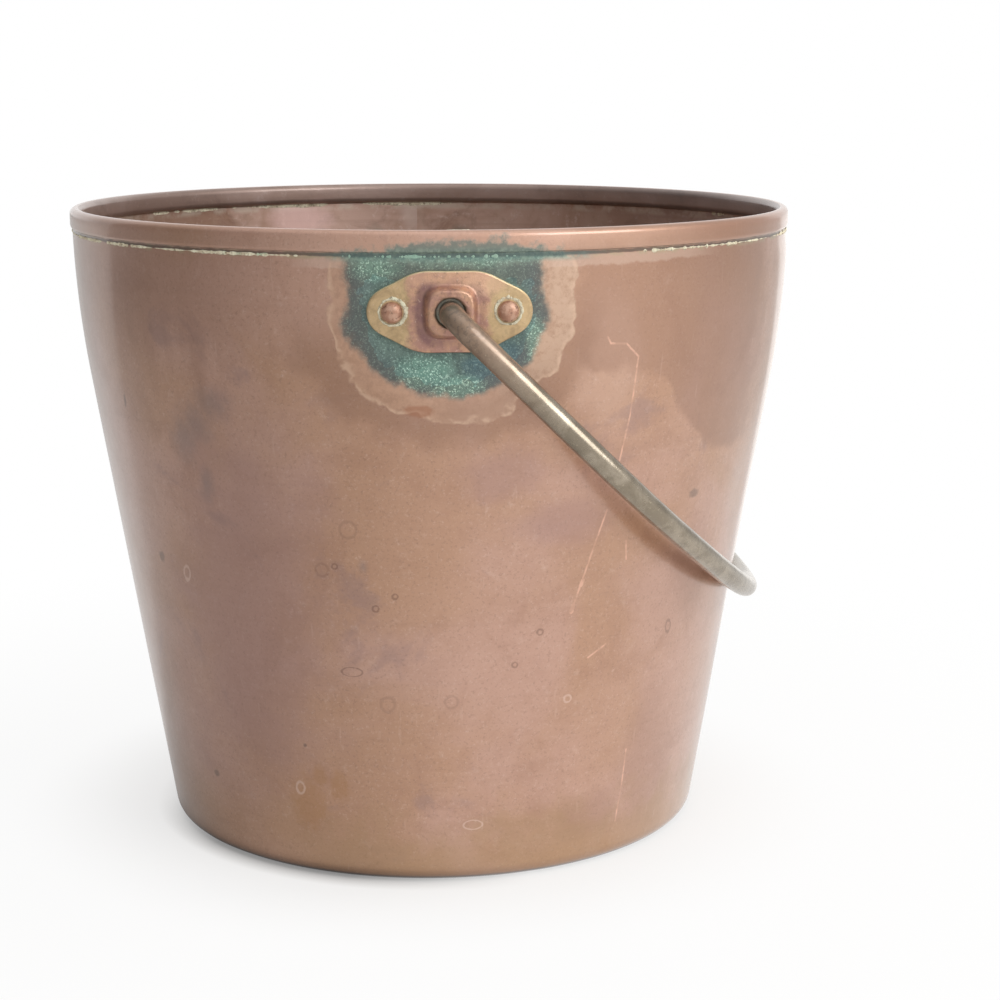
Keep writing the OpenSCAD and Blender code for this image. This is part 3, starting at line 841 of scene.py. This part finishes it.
def copper_outside(upper):
    """The pail's outside. Its lower faces leave out the marks of the ears and the rim, to render faster."""
    look = Look("worn copper near the rim" if upper else "worn copper outside", 0.72)
    look.lay_out()
    fuzz = (look.noise(1.6, 3, 0.7) - 0.5) * 0.9
    ahead = look.step(abs(look.degrees), 168, 128)
    # broad soft patches of tan and pink, then mottling, specks and the faint rings of the spinning
    look.base(look.step(look.noise(52, 4, 0.5, 0.6), 0.34, 0.66), (194, 152, 124), (203, 163, 145))
    look.lay(look.step(look.noise(34, 5, 0.6, 1, shift=55), 0.5, 0.74) * 0.4, (168, 124, 100))
    look.lay(look.step(look.noise(9, 5, 0.68, 0.4, shift=13), 0.46, 0.78) * 0.22, BROWN)
    look.lay(look.step(look.noise(5, 5, 0.75, shift=31), 0.54, 0.76) * 0.25, PALE)
    speck = look.step(look.noise(0.9, 3, 0.75, shift=37), 0.53, 0.68)
    look.lay(speck * 0.26, UMBER)
    speck = look.step(look.noise(1, 3, 0.75, shift=41), 0.55, 0.7)
    look.lay(speck * 0.26, PALE)
    spun = look.noise(1.8, 3, 0.6, stretch=(0.03, 0.03, 1))
    look.lay(look.step(spun, 0.45, 0.75) * 0.05, UMBER)
    # mauve and grey-blue where the sheet has tarnished most, to the left and beside the bail, and painted
    # shade that greys the left side
    soft = (look.noise(20, 4, 0.6, shift=44) - 0.5) * 1.4
    mauve = look.step(look.blobs((-36, 88, 34, 58), (9, 135, 13, 9), (18, 119, 15, 8)) + soft, 1.3, 0.5)
    look.lay(mauve * 0.38, (172, 136, 134))
    blotch = look.blobs((-44.5, 142, 6.5, 9), (-42, 147, 8, 8), (-38, 154, 8, 6), (-41, 128, 3, 6),
                        (-13.9, 105.9, 1.6, 2.2))
    blotch = look.step(blotch + look.noise(6, 5, 0.65) * 1.4, 2.2, 0.6)
    look.lay(blotch * 0.42, (124, 116, 122))
    # painted shade: the left side, which faces away from the light, is laid greyer and darker
    left_side_shade = ahead * look.step(look.degrees, -46, -70)
    look.lay(left_side_shade * 0.3, (112, 104, 112))
    corner = look.blobs((44, 30, 14, 26), (30, 17, 14, 8), (50, 95, 10, 18))
    corner = look.step(corner + soft, 1.4, 0.5)
    look.lay(corner * 0.32, (152, 112, 90))
    light = look.step(look.blob(24, 168, 12, 22) + soft, 1.4, 0.5)
    look.lay(light * 0.28, (222, 190, 176))
    far = look.step(look.noise(38, 5, 0.6, 0.8, shift=150) + look.step(look.y, -20, 60) * 0.12, 0.6, 0.72)
    look.lay(far * 0.4, MAUVE)
    # ochre that crept up from the base, the copper darker towards the bottom, and a painted contact shadow
    # as a dark line at the very edge
    low = look.z - look.noise(16, 4, 0.6, shift=70) * 46
    creep = look.step(low, 6, -14) * (0.12 + ahead * look.step(look.degrees, -44, -18) * 0.34)
    look.lay(creep, OCHRE)
    ochre = look.blobs((-27.2, 25, 6.5, 9), (-24.6, 35, 3, 4), (-20.6, 32, 3.5, 6))
    ochre = look.step(ochre + look.noise(4, 5, 0.7) * 1.8, 2.2, 1.3)
    look.lay(ochre * 0.5, (180, 132, 84))
    look.lay(look.step(look.z, 5.5, 1) * 0.4, UMBER)
    # painted shade: a near-black line on the lowest 2 mm, where the base curves under
    look.lay(look.step(look.z, 2.2, 1.1) * 0.8, (58, 46, 44))
    # the brown stain to the right of the ear, with a wavy lower edge that falls away to the right
    fall = look.step(look.degrees, 27, 50) * 30
    edge = look.z + fall + (look.noise(13, 3, 0.5, shift=5) - 0.5) * 16
    side = look.degrees + look.noise(9, 3, 0.5, shift=25) * 8
    stain = look.step(edge, 164, 168.5) * (look.step(side, 19, 25) * look.step(side, 68, 60))
    deep = 0.48 + look.step(look.degrees, 32, 44) * 0.14
    look.lay(stain * deep, (160, 120, 98))
    # the upper left and the far side, darker brown in streaks that run down from the rim
    runs = look.noise(12, 4, 0.55, 0.3, stretch=(1, 1, 0.12), shift=90)
    left = look.step(look.y, 10, 60) + look.step(look.degrees, -24, -44) * 0.8
    dark_streaks = look.step(look.z + runs * 70, 190, 222) * look.math("MINIMUM", left, 1)
    look.lay(dark_streaks * 0.45, (140, 98, 74))
    water_marks(look, fuzz)
    # the scratches are colour alone, because in the bump they would slow each sample by a third
    look.lay(scratches(look, fuzz) * 0.8, (238, 190, 166))
    fine = look.noise(2, 2, 0.5, stretch=(1, 1, 0.05), shift=200)
    look.lay(look.step(fine, 0.68, 0.76) * 0.12, PALE)
    rough = 0.22 + look.noise(11, 5, 0.65, shift=5) * 0.22
    if upper:
        dull = ears_and_rim(look, ahead)
        rough = look.math("MAXIMUM", rough + look.step(look.z, BEAD_Z + 3, BEAD_Z + 5) * 0.12, dull * 0.8)
    height = look.noise(2, 4, 0.65) * 0.35 + spun * 0.35
    look.varnish(0.9, 0.1)
    look.tint((0.97, 0.93, 0.9, 1))
    return look.finish(rough, height, 0.06)


def copper_inside():
    look = Look("worn copper inside", 0.72)
    look.lay_out()
    look.base(look.step(look.noise(40, 5, 0.6, 0.7, shift=300), 0.38, 0.64), (168, 128, 106),
              (196, 158, 140))
    look.lay(look.step(look.noise(15, 5, 0.65, 0.8, shift=340), 0.5, 0.72) * 0.5, UMBER)
    runs = look.noise(10, 4, 0.55, 0.2, stretch=(1, 1, 0.14), shift=310)
    runs = look.step(runs, 0.52, 0.7) * look.step(look.z, BEAD_Z, BEAD_Z - 3)
    look.lay(runs * 0.3, (200, 170, 150))
    look.lay(look.step(look.noise(3.2, 4, 0.7, shift=331), 0.55, 0.72) * 0.3, PALE)
    spun = look.noise(3.2, 3, 0.6, stretch=(0.03, 0.03, 1), shift=300)
    look.lay(look.step(spun, 0.42, 0.7) * 0.2, UMBER)
    # painted highlight: a pale soft band on the far inner wall under the bead
    highlight_band = look.step(look.blob(-177.5, 196, 6, 10), 1, 0.2)
    look.lay(highlight_band * 0.5, (214, 186, 172))
    # painted shade: the right of the inner wall, which faces away from the light, is laid greyer
    right_wall_shade = look.step(look.degrees, 165, 118) * look.step(look.degrees, 0, 20)
    look.lay(right_wall_shade * 0.3, (118, 120, 126))
    # tide marks, and dirt in the bottom
    tide = look.z - look.noise(22, 4, 0.6, shift=320) * 22
    line = look.step(abs(tide - 62), 2.4, 0.4)
    look.lay(line * 0.45, (196, 188, 160))
    look.lay(look.step(tide, 66, 30) * 0.4, (120, 96, 74))
    dirt = look.step(look.z - look.noise(12, 5, 0.65, shift=350) * 14, 4, -6)
    look.lay(dirt * 0.75, (104, 84, 62))
    tails = look.spots((-RIVET_X, 0, 6, 8), (RIVET_X, 0, 6, 8))
    tails = tails + look.noise(4, 4, 0.6, shift=371) * 0.8
    look.lay(look.step(tails, 1.5, 0.9) * 0.55, (110, 104, 88))
    ledge = look.step(abs(look.z - (BEAD_Z - 1.2)), 2.2, 0.3)
    ledge = ledge * look.step(look.noise(9, 5, 0.65, shift=380), 0.4, 0.6)
    look.lay(ledge * 0.55, (206, 186, 166))
    bead = look.step(look.z, BEAD_Z, BEAD_Z + 0.8)
    look.lay(bead * 0.5, (138, 120, 114))
    # circles of limescale and dark stains on the bottom
    bottom = look.step(look.z, 3, 1.2)
    ring = look.vector_math("LENGTH", look.vector(look.x + 12, look.y - 9), output=1)
    ring = ring + look.noise(14, 5, 0.65, 0.4, shift=390) * 18
    scale = look.step(abs(ring - 52), 2.6, 0.4)
    look.lay(scale * bottom * 0.5, (188, 178, 150))
    stain = look.step(look.noise(13, 5, 0.7, 0.8, shift=395), 0.5, 0.6) * bottom
    look.lay(stain * 0.5, (96, 116, 100))
    rust = look.step(look.noise(6, 5, 0.7, 0.5, shift=398), 0.58, 0.68) * bottom
    look.lay(rust * 0.5, (150, 96, 60))
    # painted highlight: a pale pink soft spot on the far left of the inner wall, under the bead
    pink = look.blob(-156, 195, 15, 8) + look.noise(9, 4, 0.6, shift=333) * 0.7
    look.lay(look.step(pink, 1.5, 0.7) * 0.6, (236, 192, 182))
    look.varnish(0.7, 0.2)
    rough = 0.36 + look.noise(11, 5, 0.65, shift=305) * 0.24
    height = look.noise(2.2, 4, 0.65, shift=300) * 0.4 + spun * 0.5
    look.tint((0.96, 1.04, 1.09, 1))
    return look.finish(rough, height, 0.09)


def verdigris():
    look = Look("verdigris crust", 0, 0.8)
    look.lay_out()
    ragged = salts_edge(look, look.patch())
    grain = look.noise(0.8, 4, 0.75, shift=2)
    look.colour = verdigris_colour(look, ragged)
    return look.finish(None, grain + look.noise(3, 3), 0.35)


def pale_crust(name, green, near_ear):
    """Dried salts: cream, with some green, and green all through close to the ears under the rim."""
    look = Look(name, 0, 0.85)
    look.lay_out()
    look.base(look.step(look.noise(2.4, 4, 0.65), 0.4, 0.62), (204, 190, 164), (232, 226, 200))
    from_ear = abs(look.ear_x)
    spread = look.step(look.noise(4.5, 4, 0.6, shift=8), 0.46, 0.6) * look.step(from_ear, 74, 52)
    look.lay(spread * green, (150, 178, 150))
    look.lay(look.step(look.noise(1, 3, 0.7, shift=4), 0.54, 0.64) * 0.7, (116, 98, 70))
    near = look.step(from_ear, 44, 30) * look.step(look.z, 192, 197)
    look.lay(near * near_ear, (140, 178, 162))
    return look.finish(None, look.noise(0.7, 4, 0.7), 0.3)


def ear_brass():
    look = Look("aged brass of the ears", 0.72)
    look.lay_out()
    look.base(look.step(look.noise(5, 5, 0.65, 0.5), 0.4, 0.66), (212, 184, 142), (186, 159, 122))
    wander = (look.noise(4, 4, 0.6, shift=19) - 0.5) * 6
    middle = look.step(abs(look.ear_x + 0.5) + wander, 12.8, 10.4)
    pink = look.mix(look.step(look.noise(4, 4, 0.65, shift=23), 0.4, 0.62), (186, 140, 130),
                    (210, 164, 138))
    look.lay(middle * 0.85, pink)
    warm = look.step(look.by_ear(9, 8, 8, 4) + look.noise(3, 3, shift=2) * 0.6, 1.4, 0.8)
    look.lay(warm * 0.6, (232, 190, 160))
    upper = look.step(look.ear_z, 6.5, 9) * middle
    look.lay(upper * 0.5, (226, 182, 152))
    # painted shade: the pad's sloping sides are laid dark purple, most on the left and none along the top,
    # as the light falls from the upper right
    square = abs(look.ear_x)**3.4 + abs(look.ear_z)**3.4
    side = square**(1 / 3.4) + wander * 0.25
    ring = look.step(side, 6.6, 8) * look.step(side, 11, 9.2)
    left = 0.3 + look.step(look.ear_x, 2, -8) * 0.65
    left = left * look.step(look.ear_z, 9.5, 7)
    look.lay(ring * left * 0.65, (112, 82, 92))
    grime = look.step(look.noise(2.2, 5, 0.75, shift=3), 0.5, 0.68)
    look.lay(grime * (0.22 + middle * 0.25), (116, 88, 82))
    glints = look.step(look.noise(1.3, 4, 0.75, shift=6), 0.6, 0.7)
    look.lay(glints * 0.45, (238, 212, 196))
    hole = look.by_ear(0, 0, 1, 1)
    hole = hole + look.noise(2.5, 4) * 1.6
    look.lay(look.step(hole, 6, 4.9) * 0.75, (66, 82, 74))
    # the plate's edge is bright where it faces up and dark where it faces down
    up = look.parts(look.node("NewGeometry", {}, "Normal"))[2]
    outline = look.step(look.by_ear(0, 0, 1, 1), 9.5, 10.5)
    look.lay(look.step(up, 0.25, 0.65) * outline * 0.85, (244, 226, 184))
    look.lay(look.step(up, -0.4, -0.8) * outline * 0.7, (96, 74, 62))
    rough = 0.26 + look.noise(3, 4, 0.65, shift=5) * 0.26
    bumps = look.noise(1.1, 4, 0.75) * (0.4 + middle)
    return look.finish(rough, bumps + look.noise(5, 2), 0.14)


def rivet_copper():
    look = Look("copper of the rivets", 0.75)
    look.base(look.step(look.noise(2.4, 4, 0.65), 0.42, 0.62), (186, 142, 120), (208, 170, 148))
    look.lay(look.step(look.noise(1.3, 4, 0.7, shift=5), 0.55, 0.68) * 0.7, (92, 66, 50))
    rough = 0.38 + look.noise(2, 4, 0.65) * 0.3
    return look.finish(rough, look.noise(0.9, 4, 0.7), 0.12)


def bail_brass():
    look = Look("aged brass of the bail", 0.85)
    look.base(look.step(look.noise(9, 5, 0.62, 0.5), 0.4, 0.62), (142, 130, 112), (167, 155, 137))
    look.lay(look.step(look.noise(2.6, 5, 0.7, shift=3), 0.52, 0.7) * 0.28, (112, 96, 74))
    ends = look.step(abs(look.y), 112, 131)
    near = ends * look.step(look.x, 34, 4)
    look.lay(near * 0.6, (160, 128, 106))
    grime = look.step(look.noise(1.6, 4, 0.7, shift=12), 0.46, 0.62) * (ends * look.step(look.x, 16, 3))
    look.lay(grime * 0.5, (110, 96, 88))
    pin = look.step(abs(look.y), 134, 129) * look.step(look.x, 6, 1)
    pin = pin * look.step(look.noise(2.5, 4, 0.65, shift=8), 0.35, 0.55)
    look.lay(pin * 0.7, (106, 112, 100))
    look.lay(look.step(look.noise(0.9, 3, 0.7, shift=6), 0.6, 0.7) * 0.3, (214, 202, 176))
    rough = 0.13 + look.noise(3, 4, 0.65, shift=5) * 0.24
    rough = rough + ends * look.step(look.x, 20, 4) * 0.25
    look.varnish(0.5, 0.12)
    return look.finish(rough, look.noise(1.2, 4, 0.7), 0.05)


def rim_iron():
    look = Look("iron wire in the rim", 0.6)
    look.base(look.step(look.noise(2, 4, 0.65), 0.4, 0.62), (96, 78, 66), (120, 84, 60))
    return look.finish(0.5 + look.noise(1, 3) * 0.3, look.noise(0.6, 3), 0.1)


# ---------------------------------------------------------------- the set
# Brightness of the room by bearing, in degrees from the front, positive to the right
ROOM = [(-180, 0.55), (-150, 0.6), (-132, 0.72), (-121, 0.72), (-118, 0.2), (-110, 0.2), (-60, 0.26),
        (-30, 0.55), (10, 0.92), (55, 1.05), (80, 0.82), (105, 0.62), (141, 0.55), (145, 1.35),
        (168, 1.35), (180, 1.0)]
# and of the floor close to the pail
NEAR = [(-180, 0.8), (-125, 0.76), (-110, 0.5), (-92, 0.4), (-75, 0.33), (-61, 0.3), (-30, 0.55), (10, 0.92),
        (50, 0.95), (100, 0.86), (136, 0.86), (144, 1.25), (180, 1.25)]
FLOOR = (0.86, 0.852, 0.83, 1)
FLOOR_SHADOW = (0.16, 0.14, 0.13, 1)
# The camera that fits the photograph, in metres and degrees
CAMERA_AT = (-0.03396, -0.74783, 0.2558)
CAMERA_DOWN = 11.39
CAMERA_RIGHT = 4.39
LENS = 79.2


def room_level(net, x, y, levels):
    """The room's brightness in the direction (x, y)."""
    bearing = net.ramp(net.math("ARCTAN2", x, y * -1.0), -math.pi, math.pi)
    ramp = net.tree.nodes.new("ShaderNodeValToRGB")
    spots = ramp.color_ramp.elements
    ramp.color_ramp.interpolation = "EASE"
    spots.remove(spots[0])
    spots[0].position = 0
    for degrees, level in levels:
        at = (degrees + 180) / 360
        spot = spots[0] if at == 0 else spots.new(at)
        spot.color = [level / 2] * 3 + [1]
    net.put(ramp.inputs["Fac"], bearing)
    return Value(net, ramp.outputs["Color"]) * 2.0


def rays(net):
    """1 for a ray in the metal, and 1 for one that the camera sees, straight or through something."""
    path = net.tree.nodes.new("ShaderNodeLightPath").outputs
    glossy, camera, through = [Value(net, path["Is %s Ray" % kind])
                               for kind in ("Glossy", "Camera", "Transmission")]
    return glossy, net.math("MAXIMUM", camera, through)


def floor_look():
    material = bpy.data.materials.new("pale floor")
    material.use_nodes = True
    net = Net(material.node_tree)
    net.tree.nodes.clear()
    spot = net.node("TexCoord", {}, "Object")
    x, y, _ = net.parts(spot)
    distance = net.vector_math("LENGTH", spot, output=1)
    # the shadow is darkest close to the base, on the side away from the light
    lee = net.ramp(x / distance, -0.35, 0.3, 0.66, 0.0)
    close_by = net.ramp(distance, 0.089, 0.0975, 1.0, 0.0) * net.ramp(y / distance, -0.55, 0.0, 1.0, 0.25)
    dark = lee * close_by
    shade = net.node("Mix", {0: dark, 6: FLOOR, 7: FLOOR_SHADOW}, 2, data_type="RGBA")
    paper = net.node("BsdfDiffuse", {0: shade})
    white = net.node("Emission", {0: (1, 1, 1, 1), 1: 1.0})
    share = (net.ramp(distance, 0.085, 0.15, 0.66, 0.9, "SMOOTHSTEP")
             + net.ramp(distance, 0.15, 0.4, 0.0, 0.1, "SMOOTHSTEP")) * (1.0 - dark)
    glossy, clear = rays(net)
    plain_look = net.node("MixShader", {0: share * clear, 1: paper, 2: white})
    # in the metal the floor is as bright as the room is on that side
    away = net.ramp(distance, 0.3, 0.9, kind="SMOOTHSTEP")
    level = room_level(net, x, y, NEAR) * (1.0 - away) + room_level(net, x, y, ROOM) * away
    mirrored = net.node("Emission", {0: (1, 0.985, 0.97, 1), 1: level * (1.0 - dark)})
    mirrored = net.node("MixShader", {0: 0.75, 1: paper, 2: mirrored})
    whole = net.node("MixShader", {0: glossy, 1: plain_look, 2: mirrored})
    net.put(net.tree.nodes.new("ShaderNodeOutputMaterial").inputs["Surface"], whole)
    return material


def make_floor():
    """A large pale floor that is white at a distance and keeps the pail's shadow."""
    angles = np.linspace(0, 2 * math.pi, 128, endpoint=False)[None, :]
    r = np.geomspace(20, 6000, 40)[:, None]
    floor = grid("floor", turned(r, 0 * r - 0.05, angles), wrap=True, caps=(True, False))
    floor.data.materials.append(floor_look())


def make_world():
    """A soft room: a white backdrop behind, brighter to the right, dimmer in front and to the left."""
    world = bpy.data.worlds.new("studio")
    bpy.context.scene.world = world
    world.use_nodes = True
    net = Net(world.node_tree)
    net.tree.nodes.clear()
    spot = net.node("TexCoord", {})
    x, y, z = net.parts(spot)
    level = room_level(net, x, y, ROOM)
    high = net.ramp(z, 0.25, 0.95, kind="SMOOTHSTEP")
    window = net.vector_math("DISTANCE", spot, (0.05, -0.3, 0.95), 1)
    above = net.ramp(window, 0.15, 0.6, 1.3, 0.66)
    level = level + high * (above - level)
    room = net.node("Background", {0: (1, 1, 1, 1), 1: level})
    white = net.node("Background", {0: (1, 1, 1, 1), 1: 1.0})
    behind = net.ramp(y, 0.55, 0.85, kind="SMOOTHSTEP")
    glossy, clear = rays(net)
    shown = net.math("MAXIMUM", clear, glossy * behind)
    whole = net.node("MixShader", {0: shown, 1: room, 2: white})
    net.put(net.tree.nodes.new("ShaderNodeOutputWorld").inputs["Surface"], whole)


def make_light(name, place_at, aim, wide, high, watts):
    light = bpy.data.lights.new(name, "AREA")
    light.shape = "RECTANGLE"
    light.size = wide
    light.size_y = high
    light.energy = watts
    lamp = bpy.data.objects.new(name, light)
    bpy.context.collection.objects.link(lamp)
    away = Vector(place_at) - Vector(aim)
    lamp.matrix_world = Matrix.Translation(place_at) @ away.to_track_quat("Z", "Y").to_matrix().to_4x4()
    return lamp


def make_camera():
    camera = bpy.data.cameras.new("camera")
    camera.sensor_width = 36
    camera.lens = LENS
    camera.clip_start = 0.01
    stand = bpy.data.objects.new("camera", camera)
    bpy.context.collection.objects.link(stand)
    stand.location = CAMERA_AT
    stand.rotation_euler = (math.radians(90 - CAMERA_DOWN), 0, math.radians(-CAMERA_RIGHT))
    bpy.context.scene.camera = stand


def make_set():
    make_camera()
    make_world()
    make_floor()
    make_light("key", (0.96, -0.87, 0.82), (0, 0, 0.1), 0.9, 0.7, 7)
    make_light("side", (1.3, 0.2, 0.9), (0, 0, 0.1), 0.7, 0.7, 6).visible_glossy = False
    bpy.context.scene.view_settings.view_transform = "Standard"


def make_object():
    crust, brass, copper, handle = verdigris(), ear_brass(), rivet_copper(), bail_brass()
    salts, rivet_salts = pale_crust("pale salts", 0.6, 0.85), pale_crust("salts round the rivets", 0.12, 0.0)
    make_pail(copper_outside(False), copper_outside(True), copper_inside())
    rim_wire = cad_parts["rim_wire"]
    rim_wire.data.materials.clear()
    rim_wire.data.materials.append(rim_iron())
    for name, turn, seed in (("front", 0.0, 3), ("back", math.pi, 7)):
        make_ear(name + "_ear_brass", name + "_ear", turn, brass, seed)
        make_verdigris(name + "_verdigris", turn, crust, seed)
        for side in (-1, 1):
            # seen from the front, so the sides change over on the far ear
            hand = "left" if (side < 0) == (turn == 0.0) else "right"
            node = name + "_" + hand + "_rivet"
            make_rivet(node + "_copper", node, side, turn, copper, seed + side)
            make_rivet_crust(node + "_crust", side, turn, rivet_salts, seed + 2 * side)
    make_bail(handle)
    make_bail_end("bail_end_front", -1, handle)
    make_bail_end("bail_end_back", 1, handle)
    make_seam_deposit(salts)
    make_ledge_deposit(pale_crust("pale residue inside", 0.0, 0.0))
    make_rim_salts(rivet_salts)


make_object()
make_set()
